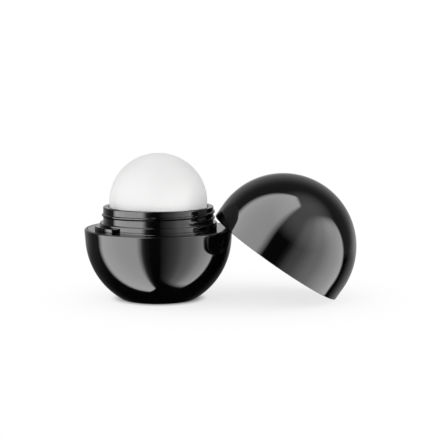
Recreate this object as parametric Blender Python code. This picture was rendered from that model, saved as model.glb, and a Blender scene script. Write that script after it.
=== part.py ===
"""Lip balm ball: a round pot with a threaded neck and a dome of balm, its screw cap leant on it.

Units are metres, +Z is up and the origin is the centre of the pot's flat foot. The pot stands
on the floor. The cap is off its thread and leans along +X, its lower rim on the floor and its
upper rim beside the neck.
"""

import math

import bmesh
import bpy

# The ball, its rim and the foot that it stands on
BALL_RADIUS = 0.0210
FOOT_RADIUS = 0.0103
FOOT_EDGE_RADIUS = 0.0010
FOOT_THICKNESS = 0.0018
BOWL_WALL = 0.0018
RIM_RISE = 0.0022
RIM_FLARE_DEGREES = 4.3
RIM_EDGE_RADIUS = 0.0004
RIM_LIP_WIDTH = 0.00025

# Room left between pieces that touch, and how far a cut or a fused shape runs past a surface
FIT_GAP = 0.0003
FLANGE_GAP = 0.0002
OVERRUN = 0.0003
MERGE_DISTANCE = 0.0000001

# The neck insert that is pressed into the bowl
FLANGE_THICKNESS = 0.0014
FLANGE_OVERHANG = 0.0021
SKIRT_WALL = 0.0011
SKIRT_LENGTH = 0.0046
BEAD_HEIGHT = 0.0003
BEAD_WIDTH = 0.0010
BEAD_DROP = 0.0026
LAND_WIDTH = 0.0042
SHOULDER_WIDTH = 0.0010
SHOULDER_HEIGHT = 0.00185
NECK_WALL = 0.0015
NECK_HEIGHT = 0.0063
NECK_EDGE = 0.0003
TUBE_DEPTH = 0.0040

# The screw thread on the neck, right-handed and single-start
THREAD_LEAD = 0.0017
THREAD_DEPTH = 0.0004
THREAD_CREST_WIDTH = 0.0003
THREAD_UPPER_FLANK = 0.0002
THREAD_LOWER_FLANK = 0.00045
THREAD_START_RISE = 0.00095
THREAD_START_DEGREES = -62.0
THREAD_TURNS = 1.42
THREAD_FADE_DEGREES = 24.0
THREAD_PLAY = 0.00015

# The stop lug that stands on the land against the shoulder, at angles left of the front, with a
# top that falls towards the shoulder, and the liner's tooth that it stops
LUG_WIDTH = 0.0019
LUG_HEIGHT = 0.00125
LUG_FALL = 0.0003
LUG_START_DEGREES = 41.4
LUG_SPAN_DEGREES = 31.1
TOOTH_PLAY_DEGREES = 0.55
TOOTH_SPAN_DEGREES = 2.2
TOOTH_INSET = 0.0001

# The plate that the balm is cast through, and the layer of balm below it
LEDGE_WIDTH = 0.0010
PLATE_THICKNESS = 0.0012
PLATE_DEPTH = 0.0022
PLATE_EDGE_WIDTH = 0.0029
PLATE_BAR_WIDTH = 0.0032
WINDOW_COUNT = 6
POST_RADIUS = 0.0015
POST_HEIGHT = 0.0050
POST_HEAD_RADIUS = 0.0026
POST_HEAD_THICKNESS = 0.0012
UNDERLAYER_THICKNESS = 0.0018
BALM_HEADROOM = 0.00025

# The cap's outer shell
CAP_SKIRT_HEIGHT = 0.0039
CAP_WALL = 0.0013
CAP_EDGE_RADIUS = 0.00015

# The cap's inner liner
LINER_RECESS = 0.0023
LINER_WALL = 0.0012
LINER_FOOT_WALL = 0.0010
LINER_FLANGE_THICKNESS = 0.0012
LINER_LIP_SLOT = 0.0005
LINER_LIP_HEIGHT = 0.0028
LINER_BEAD_RISE = 0.0007
LINER_DOME_CLEARANCE = 0.00035
LINER_THREAD_CREST_WIDTH = 0.0002
LINER_THREAD_FLANK = 0.0002
LINER_THREAD_TURNS = 1.30
LINER_THREAD_START_DEGREES = 110.0

# How the cap leans: where its upper rim meets the neck, above the pot's rim, and how near
LEAN_RISE = 0.0035
LEAN_GAP = 0.0001

# How finely round shapes are divided
SEGMENTS = 48
WINDOW_SEGMENTS = 16
DOME_STEPS = 10
INNER_DOME_STEPS = 6
BOWL_STEPS = 8
EDGE_STEPS = 3
SHARP_DEGREES = 35.0

# Heights that follow from the sizes above
FOOT_EDGE_DROP = math.sqrt((BALL_RADIUS - FOOT_EDGE_RADIUS) ** 2 - FOOT_RADIUS**2)
BOWL_CENTER_HEIGHT = FOOT_EDGE_RADIUS + FOOT_EDGE_DROP
RIM_HEIGHT = BOWL_CENTER_HEIGHT + RIM_RISE
FLANGE_BOTTOM = RIM_HEIGHT - FLANGE_THICKNESS
BEAD_MIDDLE = FLANGE_BOTTOM - BEAD_DROP
SHOULDER_TOP = RIM_HEIGHT + SHOULDER_HEIGHT
LIP_HEIGHT = RIM_HEIGHT + NECK_HEIGHT
THREAD_START_HEIGHT = SHOULDER_HEIGHT + THREAD_START_RISE
PLATE_TOP = LIP_HEIGHT - PLATE_DEPTH
PLATE_BOTTOM = PLATE_TOP - PLATE_THICKNESS
LEDGE_HEIGHT = PLATE_BOTTOM - FIT_GAP
BALM_BOTTOM = PLATE_TOP + FIT_GAP
POST_TOP = PLATE_TOP + POST_HEIGHT

# The bowl's side leaves the ball below its middle and runs on straight up to the rim's edge
FLARE = math.radians(RIM_FLARE_DEGREES)
FLARE_HEIGHT = BOWL_CENTER_HEIGHT - BALL_RADIUS * math.sin(FLARE)
RIM_EDGE_HEIGHT = RIM_HEIGHT - RIM_EDGE_RADIUS
RIM_SIDE_HEIGHT = RIM_EDGE_HEIGHT - RIM_EDGE_RADIUS * math.sin(FLARE)
RIM_SIDE_RADIUS = BALL_RADIUS * math.cos(FLARE) + (RIM_SIDE_HEIGHT - FLARE_HEIGHT) * math.tan(FLARE)
RIM_EDGE_CENTER = RIM_SIDE_RADIUS - RIM_EDGE_RADIUS * math.cos(FLARE)

# Radii that follow, from the rim inwards
RECESS_RADIUS = RIM_EDGE_CENTER - RIM_LIP_WIDTH
FLANGE_RADIUS = RECESS_RADIUS - FLANGE_GAP
SKIRT_RADIUS = FLANGE_RADIUS - FLANGE_OVERHANG
SHOULDER_RADIUS = BALL_RADIUS - LAND_WIDTH
NECK_RADIUS = SHOULDER_RADIUS - SHOULDER_WIDTH
THREAD_RADIUS = NECK_RADIUS + THREAD_DEPTH
BORE_RADIUS = NECK_RADIUS - NECK_WALL
LOWER_BORE_RADIUS = BORE_RADIUS - LEDGE_WIDTH
BALM_RADIUS = BORE_RADIUS - FIT_GAP
PLATE_RADIUS = BORE_RADIUS - FIT_GAP

# Radii of the cap that follow, and the lug and tooth that meet under it
CAP_INNER_RADIUS = BALL_RADIUS - CAP_WALL
CAP_BORE_RADIUS = THREAD_RADIUS + THREAD_PLAY
LINER_SKIRT_RADIUS = SHOULDER_RADIUS + FIT_GAP + LINER_FOOT_WALL
LINER_FOOT = LUG_HEIGHT + FIT_GAP
TOOTH_END_DEGREES = LUG_START_DEGREES - TOOTH_PLAY_DEGREES

# The liner's dome lies just under the crown of the shell, and the balm's just under the liner's
LINER_DOME_RADIUS = BALM_RADIUS + FIT_GAP + LINER_WALL
LINER_CROWN = CAP_SKIRT_HEIGHT + CAP_INNER_RADIUS - LINER_DOME_CLEARANCE
LINER_DOME_MIDDLE = LINER_CROWN - LINER_DOME_RADIUS
BALM_CENTER_HEIGHT = RIM_HEIGHT + LINER_DOME_MIDDLE - BALM_HEADROOM

# The windows fill the plate's ring, less its edge and the bars between them
WINDOW_SPREAD = math.sin(math.pi / WINDOW_COUNT)
WINDOW_REACH = PLATE_RADIUS - PLATE_EDGE_WIDTH
WINDOW_CIRCLE_RADIUS = (WINDOW_REACH + PLATE_BAR_WIDTH / 2) / (1 + WINDOW_SPREAD)
WINDOW_RADIUS = WINDOW_REACH - WINDOW_CIRCLE_RADIUS


def clear_scene():
    """Removes every object that the opened file holds."""
    for thing in list(bpy.data.objects):
        bpy.data.objects.remove(thing, do_unlink=True)


def moulded_plastic(name, color, roughness):
    """A plain injection-moulded plastic."""
    material = bpy.data.materials.new(name)
    material.use_nodes = True
    shader = material.node_tree.nodes["Principled BSDF"]
    shader.inputs["Base Color"].default_value = (*color, 1.0)
    shader.inputs["Roughness"].default_value = roughness
    shader.inputs["Metallic"].default_value = 0.0
    return material


def balm_wax(name):
    """White satin balm that lets a little light into itself."""
    material = moulded_plastic(name, (0.86, 0.86, 0.85), 0.45)
    shader = material.node_tree.nodes["Principled BSDF"]
    shader.inputs["Subsurface Weight"].default_value = 0.3
    shader.inputs["Subsurface Scale"].default_value = BALM_RADIUS
    return material


def arc(center_height, radius, start, end, steps, center_radius=0.0):
    """Points (r, z) on a circle, at angles in radians above the outward direction."""
    points = []
    for step in range(steps + 1):
        angle = start + (end - start) * step / steps
        points.append(
            (
                center_radius + radius * math.cos(angle),
                center_height + radius * math.sin(angle),
            )
        )
    return points


def dome_side(center_height, radius, lowest, steps):
    """Points from a dome's crown down to its widest place, or to the lowest height if higher."""
    end = math.asin(max(0.0, lowest - center_height) / radius)
    return arc(center_height, radius, math.pi / 2, end, steps)


def on_axis(points):
    """The same points, with any that lies on the axis put there exactly."""
    return [(0.0 if abs(r) < MERGE_DISTANCE else r, z) for r, z in points]


def turned(name, profile, closed=False):
    """A solid of revolution: the profile (r, z) runs down its outer side and is turned about Z."""
    points = on_axis(profile)
    edges = [(i, i + 1) for i in range(len(points) - 1)]
    if closed:
        edges.append((len(points) - 1, 0))
    mesh = bpy.data.meshes.new(name)
    mesh.from_pydata([(r, 0.0, z) for r, z in points], edges, [])
    piece = bpy.data.objects.new(name, mesh)
    bpy.context.scene.collection.objects.link(piece)
    screw = piece.modifiers.new("turn", "SCREW")
    screw.steps = SEGMENTS
    screw.render_steps = SEGMENTS
    screw.use_merge_vertices = True
    screw.merge_threshold = MERGE_DISTANCE
    screw.use_normal_calculate = False
    return piece


def mesh_piece(name, rings):
    """A solid from rings of points in order; it joins each ring to the next and closes both ends."""
    shape = bmesh.new()
    rows = [[shape.verts.new(point) for point in ring] for ring in rings]
    count = len(rows[0])
    for row, following in zip(rows, rows[1:]):
        for i in range(count):
            j = (i + 1) % count
            shape.faces.new((row[i], row[j], following[j], following[i]))
    shape.faces.new(reversed(rows[0]))
    shape.faces.new(rows[-1])
    bmesh.ops.recalc_face_normals(shape, faces=shape.faces)
    mesh = bpy.data.meshes.new(name)
    shape.to_mesh(mesh)
    shape.free()
    piece = bpy.data.objects.new(name, mesh)
    bpy.context.scene.collection.objects.link(piece)
    return piece


def helix_rib(name, wall, crest, start_height, start_degrees, turns, crest_width, lower, upper):
    """A thread: a four-cornered rib wound round Z, fading into the wall at both ends.

    Its lower and upper flanks run on from the crest through the wall to the root, which lies
    inside the wall by the overrun.
    """
    side = 1.0 if crest > wall else -1.0
    root = wall - side * OVERRUN
    through = (THREAD_DEPTH + OVERRUN) / THREAD_DEPTH
    steps = round(turns * SEGMENTS)
    rings = []
    for step in range(steps + 1):
        degrees = turns * 360.0 * step / steps
        to_end = min(degrees, turns * 360.0 - degrees)
        rise = min(1.0, to_end / THREAD_FADE_DEGREES)
        tip = wall + rise * (crest - wall) - side * (1.0 - rise) * OVERRUN / 2
        angle = math.radians(start_degrees + degrees)
        height = start_height + THREAD_LEAD * degrees / 360.0
        corners = (
            (root, height - crest_width / 2 - lower * through),
            (tip, height - crest_width / 2),
            (tip, height + crest_width / 2),
            (root, height + crest_width / 2 + upper * through),
        )
        rings.append([(r * math.cos(angle), r * math.sin(angle), z) for r, z in corners])
    return mesh_piece(name, rings)


def rim_block(name, inner, outer, bottom, top, inner_top, near_degrees, far_degrees):
    """A block that follows the rim; the angles are left of the front, and its top may slope."""
    steps = max(1, round((far_degrees - near_degrees) / 360.0 * SEGMENTS * 2))
    corners = ((inner, bottom), (outer, bottom), (outer, top), (inner, inner_top))
    rings = []
    for step in range(steps + 1):
        degrees = near_degrees + (far_degrees - near_degrees) * step / steps
        angle = math.radians(270.0 - degrees)
        rings.append([(r * math.cos(angle), r * math.sin(angle), z) for r, z in corners])
    return mesh_piece(name, rings)


def round_bar(name, radius, bottom, top, x=0.0, y=0.0):
    """An upright cylinder."""
    rings = []
    for height in (bottom, top):
        rings.append(
            [
                (
                    x + radius * math.cos(2 * math.pi * i / WINDOW_SEGMENTS),
                    y + radius * math.sin(2 * math.pi * i / WINDOW_SEGMENTS),
                    height,
                )
                for i in range(WINDOW_SEGMENTS)
            ]
        )
    return mesh_piece(name, rings)


def combine(piece, tool, operation):
    """Adds a tool's shape to a piece, or cuts it away, and hides the tool."""
    tool.hide_render = True
    tool.display_type = "WIRE"
    change = piece.modifiers.new(operation.lower() + "_" + tool.name, "BOOLEAN")
    change.operation = operation
    change.object = tool
    change.solver = "EXACT"


def finish(piece, material):
    """Settles a piece's modifiers into its mesh, shades it smooth and gives it its material."""
    tools = [change.object for change in piece.modifiers if change.type == "BOOLEAN"]
    graph = bpy.context.evaluated_depsgraph_get()
    mesh = bpy.data.meshes.new_from_object(piece.evaluated_get(graph))
    mesh.name = piece.name
    piece.modifiers.clear()
    piece.data = mesh
    for tool in tools:
        bpy.data.objects.remove(tool, do_unlink=True)
    mesh.shade_smooth()
    mesh.set_sharp_from_angle(angle=math.radians(SHARP_DEGREES))
    mesh.materials.clear()
    mesh.materials.append(material)
    return piece


def snap_bead(radius, middle, height, width):
    """The four points of a low chamfered bead, or groove, on an upright wall, from the top down."""
    half = width / 2
    return [
        (radius, middle + half),
        (radius + height, middle + half - abs(height)),
        (radius + height, middle - half + abs(height)),
        (radius, middle - half),
    ]


def bowl_outside():
    """The bowl's outer side from the rim down to the middle of the foot."""
    rim_edge = arc(
        RIM_EDGE_HEIGHT, RIM_EDGE_RADIUS, math.pi / 2, -FLARE, EDGE_STEPS, RIM_EDGE_CENTER
    )
    foot_angle = -math.atan2(FOOT_EDGE_DROP, FOOT_RADIUS)
    side = arc(BOWL_CENTER_HEIGHT, BALL_RADIUS, -FLARE, foot_angle, DOME_STEPS)
    foot = arc(
        FOOT_EDGE_RADIUS, FOOT_EDGE_RADIUS, foot_angle, -math.pi / 2, EDGE_STEPS, FOOT_RADIUS
    )
    return rim_edge + side + foot[1:] + [(0.0, 0.0)]


def base_bowl(material):
    """The pot's lower shell: a thin ball cut off at the rim, with a seat for the neck insert."""
    inner = BALL_RADIUS - BOWL_WALL
    seat = SKIRT_RADIUS + FIT_GAP
    ledge = FLANGE_BOTTOM - FIT_GAP
    floor_angle = -math.asin((BOWL_CENTER_HEIGHT - FOOT_THICKNESS) / inner)
    seat_angle = -math.acos(seat / inner)
    groove = snap_bead(seat, BEAD_MIDDLE, BEAD_HEIGHT, BEAD_WIDTH + 2 * FIT_GAP)
    profile = [(0.0, FOOT_THICKNESS)]
    profile += arc(BOWL_CENTER_HEIGHT, inner, floor_angle, seat_angle, BOWL_STEPS)
    profile += reversed(groove)
    profile += [(seat, ledge), (RECESS_RADIUS, ledge), (RECESS_RADIUS, RIM_HEIGHT)]
    profile += bowl_outside()
    return finish(turned("base_bowl", profile), material)


def neck_collar(material):
    """The insert: flange, shoulder and threaded neck above, snap skirt and balm tube below."""
    skirt_bottom = FLANGE_BOTTOM - SKIRT_LENGTH
    skirt_inner = SKIRT_RADIUS - SKIRT_WALL
    tube_bottom = FLANGE_BOTTOM - TUBE_DEPTH
    profile = [
        (BORE_RADIUS, LIP_HEIGHT),
        (NECK_RADIUS - NECK_EDGE, LIP_HEIGHT),
        (NECK_RADIUS, LIP_HEIGHT - NECK_EDGE),
        (NECK_RADIUS, SHOULDER_TOP),
        (SHOULDER_RADIUS - NECK_EDGE, SHOULDER_TOP),
        (SHOULDER_RADIUS, SHOULDER_TOP - NECK_EDGE),
        (SHOULDER_RADIUS, RIM_HEIGHT),
        (FLANGE_RADIUS, RIM_HEIGHT),
        (FLANGE_RADIUS, FLANGE_BOTTOM),
        (SKIRT_RADIUS, FLANGE_BOTTOM),
    ]
    profile += snap_bead(SKIRT_RADIUS, BEAD_MIDDLE, BEAD_HEIGHT, BEAD_WIDTH)
    profile += [
        (SKIRT_RADIUS, skirt_bottom),
        (skirt_inner, skirt_bottom),
        (skirt_inner, FLANGE_BOTTOM),
        (NECK_RADIUS, FLANGE_BOTTOM),
        (NECK_RADIUS, tube_bottom),
        (LOWER_BORE_RADIUS, tube_bottom),
        (LOWER_BORE_RADIUS, LEDGE_HEIGHT),
        (BORE_RADIUS, LEDGE_HEIGHT),
    ]
    collar = turned("neck_collar", profile, closed=True)
    thread = helix_rib(
        "neck_thread",
        NECK_RADIUS,
        THREAD_RADIUS,
        RIM_HEIGHT + THREAD_START_HEIGHT,
        THREAD_START_DEGREES,
        THREAD_TURNS,
        THREAD_CREST_WIDTH,
        THREAD_LOWER_FLANK,
        THREAD_UPPER_FLANK,
    )
    lug = rim_block(
        "stop_lug",
        SHOULDER_RADIUS - OVERRUN,
        SHOULDER_RADIUS + LUG_WIDTH,
        RIM_HEIGHT - OVERRUN,
        RIM_HEIGHT + LUG_HEIGHT,
        RIM_HEIGHT + LUG_HEIGHT - LUG_FALL,
        LUG_START_DEGREES,
        LUG_START_DEGREES + LUG_SPAN_DEGREES,
    )
    for tool in (thread, lug):
        combine(collar, tool, "UNION")
    return finish(collar, material)


def window_places():
    """Where the windows of the balm plate are, as (x, y)."""
    for i in range(WINDOW_COUNT):
        angle = 2 * math.pi * i / WINDOW_COUNT
        yield WINDOW_CIRCLE_RADIUS * math.cos(angle), WINDOW_CIRCLE_RADIUS * math.sin(angle)


def balm_plate(material):
    """The plate on the neck's ledge, with windows and a headed post that key the balm."""
    head_bottom = POST_TOP - POST_HEAD_THICKNESS
    profile = [
        (0.0, POST_TOP),
        (POST_HEAD_RADIUS, POST_TOP),
        (POST_HEAD_RADIUS, head_bottom),
        (POST_RADIUS, head_bottom),
        (POST_RADIUS, PLATE_TOP),
        (PLATE_RADIUS, PLATE_TOP),
        (PLATE_RADIUS, PLATE_BOTTOM),
        (0.0, PLATE_BOTTOM),
    ]
    plate = turned("balm_plate", profile)
    for number, (x, y) in enumerate(window_places()):
        window = round_bar(
            "window_%d" % number,
            WINDOW_RADIUS,
            PLATE_BOTTOM - OVERRUN,
            PLATE_TOP + OVERRUN,
            x,
            y,
        )
        combine(plate, window, "DIFFERENCE")
    return finish(plate, material)


def balm(material):
    """The balm: a dome above the plate, keys through its windows and a layer below it."""
    hole = POST_RADIUS + FIT_GAP
    head_hole = POST_HEAD_RADIUS + FIT_GAP
    head_bottom = POST_TOP - POST_HEAD_THICKNESS - FIT_GAP
    head_top = POST_TOP + FIT_GAP
    profile = dome_side(BALM_CENTER_HEIGHT, BALM_RADIUS, LIP_HEIGHT, DOME_STEPS)
    profile += [
        (BALM_RADIUS, BALM_BOTTOM),
        (hole, BALM_BOTTOM),
        (hole, head_bottom),
        (head_hole, head_bottom),
        (head_hole, head_top),
        (0.0, head_top),
    ]
    dome = turned("balm", profile)
    layer_top = PLATE_BOTTOM - FIT_GAP
    layer_bottom = layer_top - UNDERLAYER_THICKNESS
    layer_radius = LOWER_BORE_RADIUS - FIT_GAP
    layer_profile = [
        (0.0, layer_top),
        (layer_radius, layer_top),
        (layer_radius, layer_bottom),
        (0.0, layer_bottom),
    ]
    for number, (x, y) in enumerate(window_places()):
        key = round_bar(
            "key_%d" % number,
            WINDOW_RADIUS - FIT_GAP,
            layer_top - OVERRUN,
            BALM_BOTTOM + OVERRUN,
            x,
            y,
        )
        combine(dome, key, "UNION")
    combine(dome, turned("balm_underlayer", layer_profile), "UNION")
    return finish(dome, material)


def cap_shell(material):
    """The cap's outer shell: half a ball on a short straight skirt, grooved inside for the liner."""
    bead_middle = LINER_RECESS + LINER_BEAD_RISE
    groove = snap_bead(CAP_INNER_RADIUS, bead_middle, BEAD_HEIGHT, BEAD_WIDTH + 2 * FIT_GAP)
    groove_top = groove[0][1]
    profile = arc(CAP_SKIRT_HEIGHT, BALL_RADIUS, math.pi / 2, 0.0, DOME_STEPS)
    profile += arc(
        CAP_EDGE_RADIUS,
        CAP_EDGE_RADIUS,
        0.0,
        -math.pi / 2,
        EDGE_STEPS,
        BALL_RADIUS - CAP_EDGE_RADIUS,
    )
    profile += [(CAP_INNER_RADIUS, 0.0)]
    profile += reversed(groove)
    profile += reversed(
        dome_side(CAP_SKIRT_HEIGHT, CAP_INNER_RADIUS, groove_top, INNER_DOME_STEPS)
    )
    return finish(turned("cap_shell", profile), material)


def liner_thread():
    """The liner's rib, which lies midway between the turns of the neck's when the cap is closed."""
    ahead = (LINER_THREAD_START_DEGREES - THREAD_START_DEGREES) / 360.0
    return helix_rib(
        "liner_thread",
        CAP_BORE_RADIUS,
        CAP_BORE_RADIUS - THREAD_DEPTH,
        THREAD_START_HEIGHT + THREAD_LEAD * (ahead - 1 / 2),
        LINER_THREAD_START_DEGREES,
        LINER_THREAD_TURNS,
        LINER_THREAD_CREST_WIDTH,
        LINER_THREAD_FLANK,
        LINER_THREAD_FLANK,
    )


def cap_liner(material):
    """The cap's liner: threaded skirt, flange that snaps into the shell, and a dome over the balm."""
    flange_top = LINER_RECESS + LINER_FLANGE_THICKNESS
    lip_outer = CAP_INNER_RADIUS - FIT_GAP
    lip_inner = LINER_SKIRT_RADIUS + LINER_LIP_SLOT
    lip_top = LINER_RECESS + LINER_LIP_HEIGHT
    seat = NECK_HEIGHT + FIT_GAP
    seat_top = seat + LINER_WALL
    dome_inner = LINER_DOME_RADIUS - LINER_WALL
    counterbore = SHOULDER_RADIUS + FIT_GAP
    counterbore_top = SHOULDER_HEIGHT + FIT_GAP
    profile = dome_side(LINER_DOME_MIDDLE, LINER_DOME_RADIUS, seat_top, DOME_STEPS)
    profile += [
        (LINER_SKIRT_RADIUS, seat_top),
        (LINER_SKIRT_RADIUS, flange_top),
        (lip_inner, flange_top),
        (lip_inner, lip_top),
        (lip_outer, lip_top),
    ]
    profile += snap_bead(lip_outer, LINER_RECESS + LINER_BEAD_RISE, BEAD_HEIGHT, BEAD_WIDTH)
    profile += [
        (lip_outer, LINER_RECESS),
        (LINER_SKIRT_RADIUS, LINER_RECESS),
        (LINER_SKIRT_RADIUS, LINER_FOOT),
        (counterbore, LINER_FOOT),
        (counterbore, counterbore_top),
        (CAP_BORE_RADIUS, counterbore_top),
        (CAP_BORE_RADIUS, seat),
        (dome_inner, seat),
    ]
    profile += reversed(dome_side(LINER_DOME_MIDDLE, dome_inner, seat, INNER_DOME_STEPS))
    liner = turned("cap_liner", profile)
    tooth = rim_block(
        "stop_tooth",
        counterbore + TOOTH_INSET,
        LINER_SKIRT_RADIUS - TOOTH_INSET,
        FIT_GAP,
        LINER_FOOT + OVERRUN,
        LINER_FOOT + OVERRUN,
        TOOTH_END_DEGREES - TOOTH_SPAN_DEGREES,
        TOOTH_END_DEGREES,
    )
    for tool in (liner_thread(), tooth):
        combine(liner, tool, "UNION")
    return finish(liner, material)


def cap_axis():
    """The empty on the cap's own axis, at the middle of its rim, tilted as the cap leans.

    The rim's lower end is on the floor and its upper end beside the neck, a rim's width apart.
    """
    tilt = math.asin((RIM_HEIGHT + LEAN_RISE) / (2 * BALL_RADIUS))
    lowest = CAP_EDGE_RADIUS * (math.sin(tilt) + math.cos(tilt) - 1)
    axis = bpy.data.objects.new("cap_axis", None)
    bpy.context.scene.collection.objects.link(axis)
    axis.rotation_euler = (0.0, tilt, 0.0)
    axis.location = (
        THREAD_RADIUS + LEAN_GAP + BALL_RADIUS * math.cos(tilt),
        0.0,
        BALL_RADIUS * math.sin(tilt) - lowest,
    )
    return axis


def build():
    """Makes the six pieces; the cap's two ride on the leaning axis."""
    clear_scene()
    black = moulded_plastic("gloss_black", (0.004, 0.004, 0.0044), 0.08)
    inner_black = moulded_plastic("insert_black", (0.004, 0.004, 0.0044), 0.09)
    liner_black = moulded_plastic("liner_black", (0.007, 0.007, 0.0074), 0.28)
    plate_black = moulded_plastic("plate_black", (0.009, 0.009, 0.0094), 0.38)
    white = balm_wax("balm_white")
    base_bowl(black)
    neck_collar(inner_black)
    balm_plate(plate_black)
    balm(white)
    axis = cap_axis()
    for piece in (cap_shell(black), cap_liner(liner_black)):
        piece.parent = axis


build()
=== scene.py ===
"""Lip balm ball, open: the fine surfaces, finishes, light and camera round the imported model.

Lengths are metres and Z is up. The pot stands on its foot at the origin, its axis on Z. The cap
leans along +X; its pieces are shaped about their own axis and then leant.
"""

import math

import bpy
import numpy as np
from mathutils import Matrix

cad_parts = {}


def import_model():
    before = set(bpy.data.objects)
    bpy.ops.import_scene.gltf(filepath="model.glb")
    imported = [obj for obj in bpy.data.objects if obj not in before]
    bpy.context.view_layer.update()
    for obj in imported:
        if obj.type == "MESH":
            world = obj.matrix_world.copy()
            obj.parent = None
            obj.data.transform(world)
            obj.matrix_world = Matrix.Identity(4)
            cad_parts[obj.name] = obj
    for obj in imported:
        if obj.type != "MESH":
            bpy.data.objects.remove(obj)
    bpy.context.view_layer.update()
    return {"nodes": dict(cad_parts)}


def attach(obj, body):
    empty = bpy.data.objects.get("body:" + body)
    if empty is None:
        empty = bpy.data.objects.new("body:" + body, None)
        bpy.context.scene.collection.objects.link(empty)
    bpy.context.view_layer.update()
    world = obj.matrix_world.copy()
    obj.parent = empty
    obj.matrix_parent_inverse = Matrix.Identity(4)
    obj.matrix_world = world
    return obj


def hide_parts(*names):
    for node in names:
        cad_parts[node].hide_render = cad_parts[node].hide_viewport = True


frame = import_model()

# The ball, its rim and its foot
BALL_RADIUS = 0.0210
FOOT_RADIUS = 0.0103
FOOT_EDGE_RADIUS = 0.0010
FOOT_THICKNESS = 0.0018
BOWL_WALL = 0.0018
RIM_RISE = 0.0022
RIM_FLARE = math.radians(4.3)
RIM_EDGE_RADIUS = 0.0004
RIM_LIP_WIDTH = 0.00025
FIT_GAP = 0.0003
FLANGE_GAP = 0.0002

# The insert: rim land, shoulder, neck and what is pressed into the bowl
FLANGE_THICKNESS = 0.0014
FLANGE_OVERHANG = 0.0021
SKIRT_WALL = 0.0011
SKIRT_LENGTH = 0.0046
BEAD_HEIGHT = 0.0003
BEAD_WIDTH = 0.0010
BEAD_DROP = 0.0026
LAND_WIDTH = 0.0042
SHOULDER_WIDTH = 0.0010
SHOULDER_HEIGHT = 0.00185
NECK_WALL = 0.0015
NECK_HEIGHT = 0.0063
TUBE_DEPTH = 0.0040
LIP_EDGE = 0.00022
SOFT_EDGE = 0.00015
FINE_EDGE = 0.00006

# The thread, right-handed and single-start
THREAD_LEAD = 0.0017
THREAD_DEPTH = 0.0004
THREAD_CREST = 0.00030
THREAD_UPPER_FLANK = 0.00020
THREAD_LOWER_FLANK = 0.00045
THREAD_START_RISE = 0.00095
THREAD_START = math.radians(-62.0)
THREAD_TURNS = 1.42
THREAD_FADE_TURNS = 24.0 / 360.0
THREAD_PLAY = 0.00015

# The stop lug at the shoulder and the liner's tooth that it stops, in degrees left of the front
LUG_WIDTH = 0.0019
LUG_HEIGHT = 0.00125
LUG_FALL = 0.0003
LUG_START_DEGREES = 41.4
LUG_END_DEGREES = 72.5
LUG_EDGE = 0.0001
TOOTH_START_DEGREES = 38.65
TOOTH_END_DEGREES = 40.85
TOOTH_INSET = 0.0001
SUNK = 0.0001

# The plate, its windows and post, and the balm cast round them
LEDGE_WIDTH = 0.0010
PLATE_THICKNESS = 0.0012
PLATE_DEPTH = 0.0022
WINDOW_COUNT = 6
WINDOW_RADIUS = 0.0026
WINDOW_CIRCLE_RADIUS = 0.0084
POST_RADIUS = 0.0015
POST_HEIGHT = 0.0050
POST_HEAD_RADIUS = 0.0026
POST_HEAD_THICKNESS = 0.0012
UNDERLAYER_THICKNESS = 0.0018
BALM_EDGE = 0.0003
BALM_HEADROOM = 0.00025

# The cap's shell
CAP_SKIRT_HEIGHT = 0.0039
CAP_WALL = 0.0013
CAP_EDGE_RADIUS = 0.00015

# The cap's liner
LINER_RECESS = 0.0023
LINER_WALL = 0.0012
LINER_FOOT_WALL = 0.0010
LINER_FLANGE_THICKNESS = 0.0012
LINER_LIP_SLOT = 0.0005
LINER_LIP_HEIGHT = 0.0028
LINER_BEAD_RISE = 0.0007
LINER_DOME_CLEARANCE = 0.00035
LINER_THREAD_CREST = 0.00020
LINER_THREAD_FLANK = 0.00020
LINER_THREAD_TURNS = 1.30
LINER_THREAD_START = math.radians(110.0)

# How the cap leans
LEAN_RISE = 0.0035
LEAN_GAP = 0.0001

# How finely the surfaces are divided
COLUMNS = 288
LINER_COLUMNS = 240
BALM_KEY_COLUMNS = 48
SIDE = 0.00035
THREAD_ROW = 0.00005
ARC_POINTS = 7
STEP_SLACK = 1e-6
ON_AXIS = 1e-9
SHARP_DEGREES = 38.0

# What follows from those sizes
FOOT_DROP = math.sqrt((BALL_RADIUS - FOOT_EDGE_RADIUS) ** 2 - FOOT_RADIUS**2)
BOWL_MIDDLE = FOOT_EDGE_RADIUS + FOOT_DROP
RIM = BOWL_MIDDLE + RIM_RISE
FLANGE_BOTTOM = RIM - FLANGE_THICKNESS
BEAD_MIDDLE = FLANGE_BOTTOM - BEAD_DROP
SHOULDER_TOP = RIM + SHOULDER_HEIGHT
LIP = RIM + NECK_HEIGHT
PLATE_TOP = LIP - PLATE_DEPTH
PLATE_BOTTOM = PLATE_TOP - PLATE_THICKNESS
LEDGE = PLATE_BOTTOM - FIT_GAP
BALM_BOTTOM = PLATE_TOP + FIT_GAP
POST_TOP = PLATE_TOP + POST_HEIGHT
FLARE_HEIGHT = BOWL_MIDDLE - BALL_RADIUS * math.sin(RIM_FLARE)
RIM_EDGE_HEIGHT = RIM - RIM_EDGE_RADIUS
RIM_SIDE_HEIGHT = RIM_EDGE_HEIGHT - RIM_EDGE_RADIUS * math.sin(RIM_FLARE)
RIM_SIDE_RADIUS = (
    BALL_RADIUS * math.cos(RIM_FLARE) + (RIM_SIDE_HEIGHT - FLARE_HEIGHT) * math.tan(RIM_FLARE)
)
RIM_EDGE_CENTER = RIM_SIDE_RADIUS - RIM_EDGE_RADIUS * math.cos(RIM_FLARE)
RECESS_RADIUS = RIM_EDGE_CENTER - RIM_LIP_WIDTH
FLANGE_RADIUS = RECESS_RADIUS - FLANGE_GAP
SKIRT_RADIUS = FLANGE_RADIUS - FLANGE_OVERHANG
SHOULDER_RADIUS = BALL_RADIUS - LAND_WIDTH
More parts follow.
